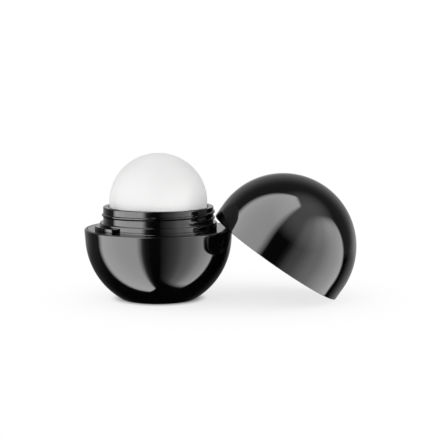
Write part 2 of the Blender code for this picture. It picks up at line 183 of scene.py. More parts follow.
NECK_RADIUS = SHOULDER_RADIUS - SHOULDER_WIDTH
THREAD_RADIUS = NECK_RADIUS + THREAD_DEPTH
THREAD_START_RISE_ABOVE_RIM = SHOULDER_HEIGHT + THREAD_START_RISE
BORE_RADIUS = NECK_RADIUS - NECK_WALL
LOWER_BORE_RADIUS = BORE_RADIUS - LEDGE_WIDTH
BALM_RADIUS = BORE_RADIUS - FIT_GAP
CAP_INNER_RADIUS = BALL_RADIUS - CAP_WALL
CAP_BORE_RADIUS = THREAD_RADIUS + THREAD_PLAY
LINER_SKIRT_RADIUS = SHOULDER_RADIUS + FIT_GAP + LINER_FOOT_WALL
LINER_FOOT = LUG_HEIGHT + FIT_GAP
LINER_DOME_RADIUS = BALM_RADIUS + FIT_GAP + LINER_WALL
LINER_CROWN = CAP_SKIRT_HEIGHT + CAP_INNER_RADIUS - LINER_DOME_CLEARANCE
LINER_DOME_MIDDLE = LINER_CROWN - LINER_DOME_RADIUS
BALM_MIDDLE = RIM + LINER_DOME_MIDDLE - BALM_HEADROOM
LEAN = math.asin((RIM + LEAN_RISE) / (2 * BALL_RADIUS))
CAP_RIM_X = THREAD_RADIUS + LEAN_GAP + BALL_RADIUS * math.cos(LEAN)
CAP_EDGE_SINK = CAP_EDGE_RADIUS * (math.sin(LEAN) + math.cos(LEAN) - 1)
CAP_RIM_Z = BALL_RADIUS * math.sin(LEAN) - CAP_EDGE_SINK


def dome(middle, radius, start, end):
    """Points (r, z) on a circle about the axis, at angles above the outward direction.

    r = radius cos(angle) and z = middle + radius sin(angle), a side's length apart.
    """
    steps = max(2, math.ceil(abs(end - start) * radius / SIDE))
    angles = np.linspace(start, end, steps + 1)
    points = np.column_stack([radius * np.cos(angles), middle + radius * np.sin(angles)])
    points[np.abs(points[:, 0]) < ON_AXIS, 0] = 0.0
    return points


def rounded(corners):
    """An outline (r, z) from corners (r, z, edge radius), each edge a tangent arc.

    For unit vectors u and v from a corner to its neighbours, the arc's centre lies on u + v at
    the edge radius over the sine of half the corner's angle.
    """
    corners = np.asarray(corners, dtype=float)
    pieces = [corners[:1, :2]]
    for before, corner, after in zip(corners, corners[1:], corners[2:]):
        here, radius = corner[:2], corner[2]
        if radius == 0.0:
            pieces.append(here[None])
            continue
        back = (before[:2] - here) / np.linalg.norm(before[:2] - here)
        ahead = (after[:2] - here) / np.linalg.norm(after[:2] - here)
        half = math.acos(float(np.clip(back @ ahead, -1.0, 1.0))) / 2
        middle = here + (back + ahead) / np.linalg.norm(back + ahead) * radius / math.sin(half)
        first = here + back * radius / math.tan(half) - middle
        last = here + ahead * radius / math.tan(half) - middle
        start = math.atan2(first[1], first[0])
        turn = (math.atan2(last[1], last[0]) - start + math.pi) % (2 * math.pi) - math.pi
        angles = start + np.linspace(0.0, turn, ARC_POINTS)
        pieces.append(middle + radius * np.column_stack([np.cos(angles), np.sin(angles)]))
    pieces.append(corners[-1:, :2])
    return np.vstack(pieces)


def spaced(outline, longest=SIDE):
    """The same outline with points added evenly, so that no side is longer than given."""
    lengths = np.linalg.norm(np.diff(outline, axis=0), axis=1)
    outline = outline[np.concatenate([[True], lengths > 0.0])]
    lengths = np.linalg.norm(np.diff(outline, axis=0), axis=1)
    steps = np.maximum(1, np.ceil(lengths / longest - STEP_SLACK)).astype(int)
    places = [side + np.arange(count) / count for side, count in enumerate(steps)]
    places = np.concatenate(places + [[len(steps)]])
    sides = np.arange(len(outline))
    return np.column_stack([np.interp(places, sides, outline[:, i]) for i in (0, 1)])


def shown(name, points, faces):
    """An object at the origin, its place in its mesh, shaded smooth between its sharp edges."""
    mesh = bpy.data.meshes.new(name)
    mesh.from_pydata(points.tolist(), [], faces)
    mesh.validate()
    mesh.shade_smooth()
    mesh.set_sharp_from_angle(angle=math.radians(SHARP_DEGREES))
    piece = bpy.data.objects.new(name, mesh)
    bpy.context.scene.collection.objects.link(piece)
    return piece


def leant(points):
    """Points of the cap turned about Y by its lean and moved to where its rim's middle is."""
    x, y, z = points.T
    return np.column_stack(
        [
            CAP_RIM_X + x * math.cos(LEAN) + z * math.sin(LEAN),
            y,
            CAP_RIM_Z - x * math.sin(LEAN) + z * math.cos(LEAN),
        ]
    )


def turned(name, outline, columns=COLUMNS, change=None, place=None):
    """A closed surface of revolution from an outline (r, z) that runs down its outer side.

    A point is (r cos(a), r sin(a), z) for angles a all the way round; change may move r as a
    function of r, z and a. Ends on the axis become one point each; any other outline is a loop.
    """
    looped = outline[0, 0] > 0.0
    if looped:
        outline = outline[:-1]
    angles = np.arange(columns) * 2 * math.pi / columns
    r = np.repeat(outline[:, :1], columns, axis=1)
    z = np.repeat(outline[:, 1:], columns, axis=1)
    if change is not None:
        r = change(r, z, angles[None, :])
    points = np.stack([r * np.cos(angles), r * np.sin(angles), z], axis=-1).reshape(-1, 3)
    grid = np.arange(len(outline) * columns).reshape(len(outline), columns)
    if looped:
        upper, lower = grid, np.roll(grid, -1, axis=0)
    else:
        upper, lower = grid[1:-2], grid[2:-1]
    quads = [upper, lower, np.roll(lower, -1, axis=1), np.roll(upper, -1, axis=1)]
    faces = np.stack(quads, axis=-1).reshape(-1, 4).tolist()
    if not looped:
        top, bottom = grid[1], grid[-2]
        crown = np.full(columns, columns - 1)
        base = np.full(columns, grid[-1, 0])
        faces += np.column_stack([crown, top, np.roll(top, -1)]).tolist()
        faces += np.column_stack([base, np.roll(bottom, -1), bottom]).tolist()
        points = points[columns - 1 : grid[-1, 0] + 1]
        faces = [[corner - columns + 1 for corner in face] for face in faces]
    if place is not None:
        points = place(points)
    return shown(name, points, faces)


def thread_rise(z, angles, start_angle, start_height, turns, crest, upper_flank, lower_flank):
    """How far a thread stands off its wall at heights z and angles, from 0 to 1.

    The crest's middle climbs a lead for each turn. On each flank the rise falls evenly from 1 at
    the crest to 0 at the root; at the thread's ends it is t t (3 - 2 t) of that, t from 0 to 1.
    """
    first = ((angles - start_angle) % (2 * math.pi)) / (2 * math.pi)
    rise = np.zeros(np.broadcast(z, angles).shape)
    for winding in range(math.ceil(turns)):
        along = first + winding
        middle = start_height + THREAD_LEAD * along
        above = (middle + crest / 2 + upper_flank - z) / upper_flank
        below = (z - middle + crest / 2 + lower_flank) / lower_flank
        across = np.clip(np.minimum(above, below), 0.0, 1.0)
        ends = np.clip(np.minimum(along, turns - along) / THREAD_FADE_TURNS, 0.0, 1.0)
        hump = across * ends * ends * (3 - 2 * ends)
        rise = np.maximum(rise, hump)
    return rise


def neck_threaded(r, z, angles):
    """Moves the neck's outer wall out along the thread."""
    rise = thread_rise(
        z, angles, THREAD_START, RIM + THREAD_START_RISE_ABOVE_RIM, THREAD_TURNS,
        THREAD_CREST, THREAD_UPPER_FLANK, THREAD_LOWER_FLANK,
    )
    on_wall = (np.abs(r - NECK_RADIUS) < FINE_EDGE) & (z > SHOULDER_TOP) & (z < LIP)
    return r + np.where(on_wall, THREAD_DEPTH * rise, 0.0)


def liner_threaded(r, z, angles):
    """Moves the liner's bore in along its thread, midway between the neck's turns if closed."""
    ahead = (LINER_THREAD_START - THREAD_START) / (2 * math.pi) - 0.5
    rise = thread_rise(
        z, angles, LINER_THREAD_START, THREAD_START_RISE_ABOVE_RIM + THREAD_LEAD * ahead,
        LINER_THREAD_TURNS, LINER_THREAD_CREST, LINER_THREAD_FLANK, LINER_THREAD_FLANK,
    )
    on_wall = np.abs(r - CAP_BORE_RADIUS) < FINE_EDGE
    return r - np.where(on_wall, THREAD_DEPTH * rise, 0.0)


def bead(radius, middle, height, width):
    """Corners of a low round-edged bead, or a groove, on an upright wall, from the top down."""
    half = width / 2
    return [
        (radius, middle + half, FINE_EDGE),
        (radius + height, middle + half - height, FINE_EDGE),
        (radius + height, middle - half + height, FINE_EDGE),
        (radius, middle - half, FINE_EDGE),
    ]


def bowl():
    """The pot's outer shell: the ball below the rim, its flat foot, its seat and its inside."""
    inner = BALL_RADIUS - BOWL_WALL
    seat = SKIRT_RADIUS + FIT_GAP
    ledge = FLANGE_BOTTOM - FIT_GAP
    foot_angle = -math.atan2(FOOT_DROP, FOOT_RADIUS)
    side = dome(BOWL_MIDDLE, BALL_RADIUS, -RIM_FLARE, foot_angle)
    edge_angles = np.linspace(math.pi / 2, -RIM_FLARE, ARC_POINTS)
    rim_edge = np.column_stack(
        [
            RIM_EDGE_CENTER + RIM_EDGE_RADIUS * np.cos(edge_angles),
            RIM_EDGE_HEIGHT + RIM_EDGE_RADIUS * np.sin(edge_angles),
        ]
    )
    foot_angles = np.linspace(foot_angle, -math.pi / 2, ARC_POINTS)
    foot_edge = np.column_stack(
        [
            FOOT_RADIUS + FOOT_EDGE_RADIUS * np.cos(foot_angles),
            FOOT_EDGE_RADIUS + FOOT_EDGE_RADIUS * np.sin(foot_angles),
        ]
    )
    floor_angle = -math.asin((BOWL_MIDDLE - FOOT_THICKNESS) / inner)
    inside = dome(BOWL_MIDDLE, inner, floor_angle, -math.acos(seat / inner))
    groove = bead(seat, BEAD_MIDDLE, BEAD_HEIGHT, BEAD_WIDTH + 2 * FIT_GAP)
    seating = rounded(
        [(*inside[-1], 0.0)]
        + groove[::-1]
        + [
            (seat, ledge, SOFT_EDGE),
            (RECESS_RADIUS, ledge, FINE_EDGE),
            (RECESS_RADIUS, RIM, FINE_EDGE),
            (*rim_edge[0], 0.0),
        ]
    )
    parts = [[(0.0, FOOT_THICKNESS)], inside, seating, rim_edge, side, foot_edge, [(0.0, 0.0)]]
    return turned("bowl", spaced(np.vstack(parts)))


def collar():
    """The insert in one moulding: land, shoulder, threaded neck, snap skirt and balm tube."""
    skirt_bottom = FLANGE_BOTTOM - SKIRT_LENGTH
    skirt_inner = SKIRT_RADIUS - SKIRT_WALL
    tube_bottom = FLANGE_BOTTOM - TUBE_DEPTH
    bore_middle = (LIP + LEDGE) / 2
    above = rounded(
        [
            (BORE_RADIUS, bore_middle, 0.0),
            (BORE_RADIUS, LIP, SOFT_EDGE),
            (NECK_RADIUS, LIP, LIP_EDGE),
            (NECK_RADIUS, SHOULDER_TOP, 0.0),
        ]
    )[:-1]
    below = rounded(
        [
            (NECK_RADIUS, LIP, 0.0),
            (NECK_RADIUS, SHOULDER_TOP, SOFT_EDGE),
            (SHOULDER_RADIUS, SHOULDER_TOP, LIP_EDGE),
            (SHOULDER_RADIUS, RIM, SOFT_EDGE),
            (FLANGE_RADIUS, RIM, FINE_EDGE),
            (FLANGE_RADIUS, FLANGE_BOTTOM, FINE_EDGE),
            (SKIRT_RADIUS, FLANGE_BOTTOM, FINE_EDGE),
        ]
        + bead(SKIRT_RADIUS, BEAD_MIDDLE, BEAD_HEIGHT, BEAD_WIDTH)
        + [
            (SKIRT_RADIUS, skirt_bottom, LIP_EDGE),
            (skirt_inner, skirt_bottom, SOFT_EDGE),
            (skirt_inner, FLANGE_BOTTOM, SOFT_EDGE),
            (NECK_RADIUS, FLANGE_BOTTOM, SOFT_EDGE),
            (NECK_RADIUS, tube_bottom, SOFT_EDGE),
            (LOWER_BORE_RADIUS, tube_bottom, SOFT_EDGE),
            (LOWER_BORE_RADIUS, LEDGE, FINE_EDGE),
            (BORE_RADIUS, LEDGE, FINE_EDGE),
            (BORE_RADIUS, bore_middle, 0.0),
        ]
    )[1:]
    # The wall between the two carries the thread, and its rows are finer
    wall = spaced(np.vstack([above[-1:], below[:1]]), THREAD_ROW)
    outline = np.vstack([spaced(above), wall, spaced(below)])
    return turned("collar", spaced(outline), change=neck_threaded)


def ring_block(name, inner, outer, bottom, top, start, end, edge, fall=0.0, place=None):
    """A rounded box bent round the Z axis, between two angles in degrees left of the front.

    Each point is a corner centre of the box plus the edge radius in a direction of the sphere:
    (sin p cos q, sin p sin q) across and cos p along. The top may fall towards the axis.
    """
    middle_radius = (inner + outer) / 2
    half_length = math.radians(end - start) / 2 * middle_radius
    turns = np.arange(4) * math.pi / 2
    steps = np.linspace(0.0, math.pi / 2, ARC_POINTS)
    q = (turns[:, None] + steps[None, :]).ravel()
    quarter = np.repeat(np.arange(4), ARC_POINTS)
    corner_r = np.where(np.isin(quarter, (0, 3)), outer - edge, inner + edge)
    corner_z = np.where(np.isin(quarter, (0, 1)), top - edge, bottom + edge)
    p = np.concatenate([steps, math.pi / 2 + steps])
    flats = max(1, math.ceil(2 * half_length / SIDE))
    near = np.full(ARC_POINTS, -half_length + edge)
    run = np.linspace(-half_length + edge, half_length - edge, flats + 1)[1:-1]
    far = np.full(ARC_POINTS, half_length - edge)
    along_base = np.concatenate([near, run, far])
    p = np.concatenate([p[:ARC_POINTS], np.full(len(run), math.pi / 2), p[ARC_POINTS:]])
    along = along_base - edge * np.cos(p)
    r = corner_r[None, :] + edge * np.sin(p)[:, None] * np.cos(q)[None, :]
    z = corner_z[None, :] + edge * np.sin(p)[:, None] * np.sin(q)[None, :]
    z = z - fall * (outer - r) / (outer - inner) * (z - bottom) / (top - bottom)
    a = 1.5 * math.pi - math.radians((start + end) / 2) - along[:, None] / middle_radius
    a = np.broadcast_to(a, r.shape)
    points = np.stack([r * np.cos(a), r * np.sin(a), z], axis=-1)
    rows, count = a.shape
    grid = np.arange(rows * count).reshape(rows, count)
    quads = [grid[:-1], np.roll(grid[:-1], -1, 1), np.roll(grid[1:], -1, 1), grid[1:]]
    faces = np.stack(quads, axis=-1).reshape(-1, 4).tolist()
    ends = np.stack([points[0].mean(axis=0), points[-1].mean(axis=0)])
    first, last = grid[0], grid[-1]
    near_hub = np.full(count, rows * count)
    faces += np.column_stack([near_hub, np.roll(first, -1), first]).tolist()
    faces += np.column_stack([near_hub + 1, last, np.roll(last, -1)]).tolist()
    points = np.vstack([points.reshape(-1, 3), ends])
    if place is not None:
        points = place(points)
    return shown(name, points, faces)


def stop_lug():
    """The lug on the land, joined to the shoulder, that ends the cap's turn."""
    return ring_block(
        "stop_lug", SHOULDER_RADIUS - SUNK, SHOULDER_RADIUS + LUG_WIDTH, RIM - SUNK,
        RIM + LUG_HEIGHT, LUG_START_DEGREES, LUG_END_DEGREES, LUG_EDGE, LUG_FALL,
    )


def balm_dome():
    """The balm above the plate: a dome on a short straight side, hollow round the post."""
    hole = POST_RADIUS + FIT_GAP
    head_hole = POST_HEAD_RADIUS + FIT_GAP
    head_bottom = POST_TOP - POST_HEAD_THICKNESS - FIT_GAP
    head_top = POST_TOP + FIT_GAP
    crown = dome(BALM_MIDDLE, BALM_RADIUS, math.pi / 2, 0.0)
    base = rounded(
        [
            (*crown[-1], 0.0),
            (BALM_RADIUS, BALM_BOTTOM, BALM_EDGE),
            (hole, BALM_BOTTOM, FINE_EDGE),
            (hole, head_bottom, FINE_EDGE),
            (head_hole, head_bottom, FINE_EDGE),
            (head_hole, head_top, FINE_EDGE),
            (0.0, head_top, 0.0),
        ]
    )
    return turned("balm_dome", spaced(np.vstack([crown, base])))


def balm_underlayer():
    """The layer of balm under the plate, which the keys hold to the dome."""
    top = PLATE_BOTTOM - FIT_GAP
    radius = LOWER_BORE_RADIUS - FIT_GAP
    outline = rounded(
        [
            (0.0, top, 0.0),
            (radius, top, BALM_EDGE),
            (radius, top - UNDERLAYER_THICKNESS, BALM_EDGE),
            (0.0, top - UNDERLAYER_THICKNESS, 0.0),
        ]
    )
    return turned("balm_underlayer", spaced(outline))


def balm_keys():
    """The stubs of balm through the plate's windows, each a small turned bar."""
    keys = []
    radius = WINDOW_RADIUS - FIT_GAP
    top = BALM_BOTTOM + SUNK
    bottom = PLATE_BOTTOM - FIT_GAP - SUNK
    outline = spaced(np.array([(0.0, top), (radius, top), (radius, bottom), (0.0, bottom)]))
    for number in range(WINDOW_COUNT):
        angle = 2 * math.pi * number / WINDOW_COUNT
        middle = WINDOW_CIRCLE_RADIUS * np.array([math.cos(angle), math.sin(angle), 0.0])
        keys.append(
            turned(
                f"balm_key_{number + 1}", outline, BALM_KEY_COLUMNS,
                place=lambda points, middle=middle: points + middle,
            )
        )
    return keys


def cap_shell():
    """The cap's outer shell: half a ball on a short straight skirt, with the liner's groove."""
    groove_middle = LINER_RECESS + LINER_BEAD_RISE
    groove = bead(CAP_INNER_RADIUS, groove_middle, BEAD_HEIGHT, BEAD_WIDTH + 2 * FIT_GAP)
    outside = dome(CAP_SKIRT_HEIGHT, BALL_RADIUS, math.pi / 2, 0.0)
    rim = rounded(
        [
            (*outside[-1], 0.0),
            (BALL_RADIUS, 0.0, CAP_EDGE_RADIUS),
            (CAP_INNER_RADIUS, 0.0, SOFT_EDGE),
        ]
        + groove[::-1]
        + [(CAP_INNER_RADIUS, CAP_SKIRT_HEIGHT, 0.0)]
    )
    inside = dome(CAP_SKIRT_HEIGHT, CAP_INNER_RADIUS, 0.0, math.pi / 2)
    return turned("cap_outer", spaced(np.vstack([outside, rim, inside])), place=leant)


def cap_liner():
    """The cap's liner: threaded skirt, flange and lip that snap into the shell, inner dome."""
    flange_top = LINER_RECESS + LINER_FLANGE_THICKNESS
    lip_outer = CAP_INNER_RADIUS - FIT_GAP
    lip_inner = LINER_SKIRT_RADIUS + LINER_LIP_SLOT
    lip_top = LINER_RECESS + LINER_LIP_HEIGHT
    seat = NECK_HEIGHT + FIT_GAP
    seat_top = seat + LINER_WALL
    dome_inner = LINER_DOME_RADIUS - LINER_WALL
    counterbore = SHOULDER_RADIUS + FIT_GAP
    counterbore_top = SHOULDER_HEIGHT + FIT_GAP
    foot = math.asin(max(0.0, seat_top - LINER_DOME_MIDDLE) / LINER_DOME_RADIUS)
    outside = dome(LINER_DOME_MIDDLE, LINER_DOME_RADIUS, math.pi / 2, foot)
    above = rounded(
        [
            (*outside[-1], 0.0),
            (LINER_SKIRT_RADIUS, seat_top, LIP_EDGE),
            (LINER_SKIRT_RADIUS, flange_top, SOFT_EDGE),
            (lip_inner, flange_top, SOFT_EDGE),
            (lip_inner, lip_top, SOFT_EDGE),
            (lip_outer, lip_top, SOFT_EDGE),
        ]
        + bead(lip_outer, LINER_RECESS + LINER_BEAD_RISE, BEAD_HEIGHT, BEAD_WIDTH)
        + [
            (lip_outer, LINER_RECESS, FINE_EDGE),
            (LINER_SKIRT_RADIUS, LINER_RECESS, SOFT_EDGE),
            (LINER_SKIRT_RADIUS, LINER_FOOT, SOFT_EDGE),
            (counterbore, LINER_FOOT, SOFT_EDGE),
            (counterbore, counterbore_top, SOFT_EDGE),
            (CAP_BORE_RADIUS, counterbore_top, SOFT_EDGE),
            (CAP_BORE_RADIUS, seat, 0.0),
        ]
    )[:-1]
    below = rounded(
        [
            (CAP_BORE_RADIUS, counterbore_top, 0.0),
            (CAP_BORE_RADIUS, seat, SOFT_EDGE),
            (dome_inner, seat, SOFT_EDGE),
            (dome_inner, LINER_DOME_MIDDLE, 0.0),
        ]
    )[1:]
    # The bore between the two carries the thread, and its rows are finer
    wall = spaced(np.vstack([above[-1:], below[:1]]), THREAD_ROW)
    inside = dome(LINER_DOME_MIDDLE, dome_inner, 0.0, math.pi / 2)
    parts = [outside, spaced(above), wall, spaced(below), inside]
    return turned(
        "cap_inner", spaced(np.vstack(parts)), LINER_COLUMNS, liner_threaded, place=leant
    )


def stop_tooth():
    """The tooth on the foot of the liner's skirt that comes up against the lug when closed."""
    return ring_block(
        "stop_tooth", SHOULDER_RADIUS + FIT_GAP + TOOTH_INSET, LINER_SKIRT_RADIUS - TOOTH_INSET,
        FIT_GAP, LINER_FOOT + SOFT_EDGE, TOOTH_START_DEGREES, TOOTH_END_DEGREES, SOFT_EDGE,
        place=leant,
    )


# What the finishes share: the span of the noise that is used, its detail, and the refraction
NOISE_SPAN = (0.3, 0.7)
PATCH_DETAIL = 3.0
ROUGHNESS_DETAIL = 4.0
REFRACTION = 1.5

# How the balm lets light in, and how much painted shade darkens its colour where the gloss of
# other pieces shows it
BALM_LIGHT_SHARE = 0.6
BALM_LIGHT_COLORS = (1.0, 0.97, 0.94)
BALM_LIGHT_DEPTH = 0.004
BALM_PAINTED_REFLECTION_SHADE = 0.75


def ranged(tree, value, span, ends, smooth=True):
    """A value brought from a span to a range, evenly or by the smooth step t t (3 - 2 t)."""
    step = tree.nodes.new("ShaderNodeMapRange")
    step.interpolation_type = "SMOOTHSTEP" if smooth else "LINEAR"
    for socket, number in zip(("From Min", "From Max", "To Min", "To Max"), (*span, *ends)):
        step.inputs[socket].default_value = number
    tree.links.new(value, step.inputs["Value"])
    return step.outputs["Result"]


def worked(tree, operation, *values):
    """What an operation makes of sockets and plain numbers."""
    step = tree.nodes.new("ShaderNodeMath")
    step.operation = operation
    for socket, value in zip(step.inputs, values):
        if isinstance(value, float):
            socket.default_value = value
        else:
            tree.links.new(value, socket)
    return step.outputs["Value"]


def distance(tree, place, middle):
    """How far a place lies from a middle."""
    step = tree.nodes.new("ShaderNodeVectorMath")
    step.operation = "DISTANCE"
    step.inputs[1].default_value = middle
    tree.links.new(place, step.inputs[0])
    return step.outputs["Value"]


def noise(tree, scale, detail, ends):
    """A soft noise over the piece's own coordinates, brought between two values."""
    place = tree.nodes.new("ShaderNodeTexCoord")
    pattern = tree.nodes.new("ShaderNodeTexNoise")
    pattern.inputs["Scale"].default_value = scale
    pattern.inputs["Detail"].default_value = detail
    tree.links.new(place.outputs["Object"], pattern.inputs["Vector"])
    return ranged(tree, pattern.outputs["Fac"], NOISE_SPAN, ends, smooth=False)


def finish_of(name, colors, patch_scale, roughness, roughness_scale, waves):
    """A finish that varies softly between two colours and two roughnesses, on a faint relief.

    Each wave of the relief is (scale, detail, depth in metres).
    """
    material = bpy.data.materials.new(name)
    material.use_nodes = True
    tree = material.node_tree
    nodes, links = tree.nodes, tree.links
    shader = nodes["Principled BSDF"]
    mix = nodes.new("ShaderNodeMix")
    mix.data_type = "RGBA"
    mix.inputs["A"].default_value = (*colors[0], 1.0)
    mix.inputs["B"].default_value = (*colors[1], 1.0)
    links.new(noise(tree, patch_scale, PATCH_DETAIL, (0.0, 1.0)), mix.inputs["Factor"])
    links.new(mix.outputs["Result"], shader.inputs["Base Color"])
    rough = noise(tree, roughness_scale, ROUGHNESS_DETAIL, roughness)
    links.new(rough, shader.inputs["Roughness"])
    normal = None
    for scale, detail, depth in waves:
        bump = nodes.new("ShaderNodeBump")
        bump.inputs["Distance"].default_value = depth
        bump.inputs["Strength"].default_value = 1.0
        links.new(noise(tree, scale, detail, (0.0, 1.0)), bump.inputs["Height"])
        if normal is not None:
            links.new(normal, bump.inputs["Normal"])
        normal = bump.outputs["Normal"]
    links.new(normal, shader.inputs["Normal"])
    shader.inputs["IOR"].default_value = REFRACTION
    return material


def polished_black():
    """Black plastic from a polished mould: a mirror-like gloss with the faintest waviness."""
    return finish_of(
        "polished_black",
        colors=((0.0012, 0.0012, 0.0013), (0.0020, 0.0020, 0.0021)),
        patch_scale=90.0,
        roughness=(0.05, 0.075),
        roughness_scale=260.0,
        waves=[(140.0, 1.0, 0.0000016), (1100.0, 2.0, 0.0000002)],
    )


def insert_black():
    """Black plastic of the insert, a little less polished than the shell."""
    return finish_of(
        "insert_black",
        colors=((0.0013, 0.0013, 0.0014), (0.0022, 0.0022, 0.0023)),
        patch_scale=120.0,
        roughness=(0.05, 0.08),
        roughness_scale=300.0,
        waves=[(200.0, 1.0, 0.0000014), (1500.0, 2.0, 0.0000003)],
    )


def liner_black():
    """Black plastic of the cap's inside, semi-gloss with a fine mould grain."""
    return finish_of(
        "liner_black",
        colors=((0.0060, 0.0060, 0.0063), (0.0085, 0.0085, 0.0088)),
        patch_scale=150.0,
        roughness=(0.24, 0.32),
        roughness_scale=350.0,
        waves=[(300.0, 2.0, 0.0000020), (4000.0, 2.0, 0.0000010)],
    )


def plate_black():
    """Black plastic of the hidden plate, satin from the mould."""
    return finish_of(
        "plate_black",
        colors=((0.0080, 0.0080, 0.0083), (0.011, 0.011, 0.0115)),
        patch_scale=150.0,
        roughness=(0.34, 0.42),
        roughness_scale=350.0,
        waves=[(300.0, 2.0, 0.0000020), (5000.0, 2.0, 0.0000015)],
    )


def white_balm():
    """White wax balm: satin, a little light let in, with the soft relief of a cast surface.

    Its colour is darkened for glossy rays, a painted shade that makes its reflection in the black
    pieces darker than the camera sees it.
    """
    material = finish_of(
        "white_balm",
        colors=((0.765, 0.765, 0.765), (0.79, 0.79, 0.785)),
        patch_scale=110.0,
        roughness=(0.28, 0.34),
        roughness_scale=320.0,
        waves=[(160.0, 2.0, 0.0000060), (1800.0, 3.0, 0.0000012)],
    )
    tree = material.node_tree
    shader = tree.nodes["Principled BSDF"]
    color = shader.inputs["Base Color"].links[0].from_socket
    # Painted shade: the base colour is mixed towards black for glossy rays only, so the balm's
    # reflections are painted darker
    rays = tree.nodes.new("ShaderNodeLightPath")
    painted_reflection_shade = tree.nodes.new("ShaderNodeMix")
    painted_reflection_shade.data_type = "RGBA"
    painted_reflection_shade.inputs["B"].default_value = (0.0, 0.0, 0.0, 1.0)
    share = worked(tree, "MULTIPLY", rays.outputs["Is Glossy Ray"], BALM_PAINTED_REFLECTION_SHADE)
    tree.links.new(share, painted_reflection_shade.inputs["Factor"])
    tree.links.new(color, painted_reflection_shade.inputs["A"])
    tree.links.new(painted_reflection_shade.outputs["Result"], shader.inputs["Base Color"])
    shader.inputs["Subsurface Weight"].default_value = BALM_LIGHT_SHARE
    shader.inputs["Subsurface Radius"].default_value = BALM_LIGHT_COLORS
    shader.inputs["Subsurface Scale"].default_value = BALM_LIGHT_DEPTH
    return material


def dressed(piece, body, node, material):
    """Gives a piece its finish, the body that it moves with and the solid that it stands for."""
    piece.data.materials.append(material)
    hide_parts(node)
    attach(piece, body)
    return piece


# The camera: the photograph's angle, distance and framing
AIM = np.array([0.017793, 0.0, 0.022456])
CAMERA_DISTANCE = 0.400
CAMERA_RISE = math.radians(7.0)
CAMERA_LENS = 113.8
SENSOR = 36.0


def camera():
    """A long lens a little above the pot, looking along +Y at the middle of pot and cap."""
    data = bpy.data.cameras.new("camera")
    data.lens = CAMERA_LENS
    data.sensor_width = SENSOR
    eye = bpy.data.objects.new("camera", data)
    bpy.context.scene.collection.objects.link(eye)
    back = np.array([0.0, -math.cos(CAMERA_RISE), math.sin(CAMERA_RISE)])
    eye.location = AIM + CAMERA_DISTANCE * back
    eye.rotation_euler = (math.pi / 2 - CAMERA_RISE, 0.0, 0.0)
    bpy.context.scene.camera = eye


# The soft boxes: pairs of degrees right of the camera's side and brightness, where white is 1
LEFT_BOX = [
    (-105.5, 0.0), (-95.0, 5.4), (-75.0, 6.15), (-32.0, 6.3), (-22.5, 0.5), (-18.0, 0.12),
    (-10.0, 0.0),
]
CAP_LEFT_BOX = [(-106.0, 0.0), (-97.0, 6.1), (-38.0, 6.0), (-26.0, 0.0)]
RIGHT_BOX = [
    (5.0, 0.05), (14.0, 0.31), (24.0, 0.63), (33.0, 1.0), (43.0, 1.8),
    (54.0, 2.15), (64.0, 2.9), (76.0, 4.2), (92.0, 4.9), (98.0, 4.9), (102.0, 0.0),
]
CAP_RIGHT_BOX = [
    (-3.0, 0.0), (3.0, 0.15), (9.0, 0.65), (14.0, 1.0), (24.0, 1.3), (33.0, 2.0), (43.0, 2.7),
    (54.0, 3.0), (64.0, 3.9), (76.0, 4.7), (92.0, 4.9), (103.0, 4.9), (108.0, 0.0),
]

# How far off the boxes stand, their heights, and the share that is evenly bright each way
BOX_DISTANCE = 0.8
BOX_HEIGHTS = {"pot_left": 15.0, "pot_right": 6.0, "cap_left": 8.5, "cap_right": 6.0}
BOX_EVEN_SHARES = {"pot_left": 0.45, "pot_right": 0.28, "cap_left": 0.32, "cap_right": 0.2}
BALM_BOX_SHARE = 0.12
CAP_LEFT_TURN = math.radians(-4.0)

# The lamps: a glow over the cap and one beside it, two from below for the balm, and the key
OVERHEAD_TILT = math.radians(27.5)
OVERHEAD_STRENGTH = 1.30
OVERHEAD_WIDTH = 1.95
OVERHEAD_EVEN_SHARE = 0.08
SIDE_GLOW_DIRECTION = np.array([0.56, 0.76, -0.33])
SIDE_GLOW_STRENGTH = 0.36
SIDE_GLOW_WIDTH = 0.90
SIDE_GLOW_EVEN_SHARE = 0.10
FILL_DROP = math.radians(55.0)
FILL_SIZE = 0.6
RIGHT_FILL_AZIMUTH = math.radians(55.0)
RIGHT_FILL_ENERGY = 9.0
LEFT_FILL_AZIMUTH = math.radians(-50.0)
LEFT_FILL_ENERGY = 6.4
KEY_LAMP_SIZE = 0.9
KEY_LAMP_ENERGY = 1.5
KEY_LAMP_PLACE = (-0.45, -0.55, 0.75)
KEY_LAMP_TURN = (math.radians(43.0), 0.0, math.radians(-39.0))

# The floor: where its share of plain white rises, in metres from a middle, and from what share
FLOOR_HALF = 4.0
FLOOR_COLOR = (0.95, 0.95, 0.95, 1.0)
FLOOR_MIDDLE = (0.019, 0.0, 0.0)
FLOOR_SPAN = (0.018, 0.070)
FLOOR_SHARE = 0.75
FOOT_SPAN = (FOOT_RADIUS, 0.0145)
FOOT_SHARE = 0.15

# The world in the gloss: over a direction's X, Y or Z, the span of a step and its two ends
DIM_RISE_Z = ((-0.75, -0.10), (0.004, 0.12))
DIM_BEHIND_Y = ((-0.5, 0.1), (0.1, 1.0))
WALL_Y = ((0.5, 0.9), (0.0, 0.30))
WALL_Z = ((-0.30, -0.08), (0.0, 1.0))
STRAIGHT_Y = ((0.955, 0.995), (0.0, 0.24))
STRAIGHT_Z = ((-0.05, 0.08), (0.0, 1.0))
SHADE_X = ((0.35, 0.65), (0.0, 1.0))
SHADE_Z = ((-0.25, -0.14), (1.0, 0.0))
WORLD_LIGHT = 0.97


def area_lamp(name, shape, size, energy, place, turn, order="XYZ"):
    """An area lamp that the camera doesn't see, at a place and turned by three angles."""
    lamp = bpy.data.lights.new(name, "AREA")
    lamp.shape = shape
    lamp.size = size
    lamp.energy = energy
    light = bpy.data.objects.new(name, lamp)
    bpy.context.scene.collection.objects.link(light)
    light.location = place
    light.rotation_mode = order
    light.rotation_euler = turn
    light.visible_camera = False
    return light


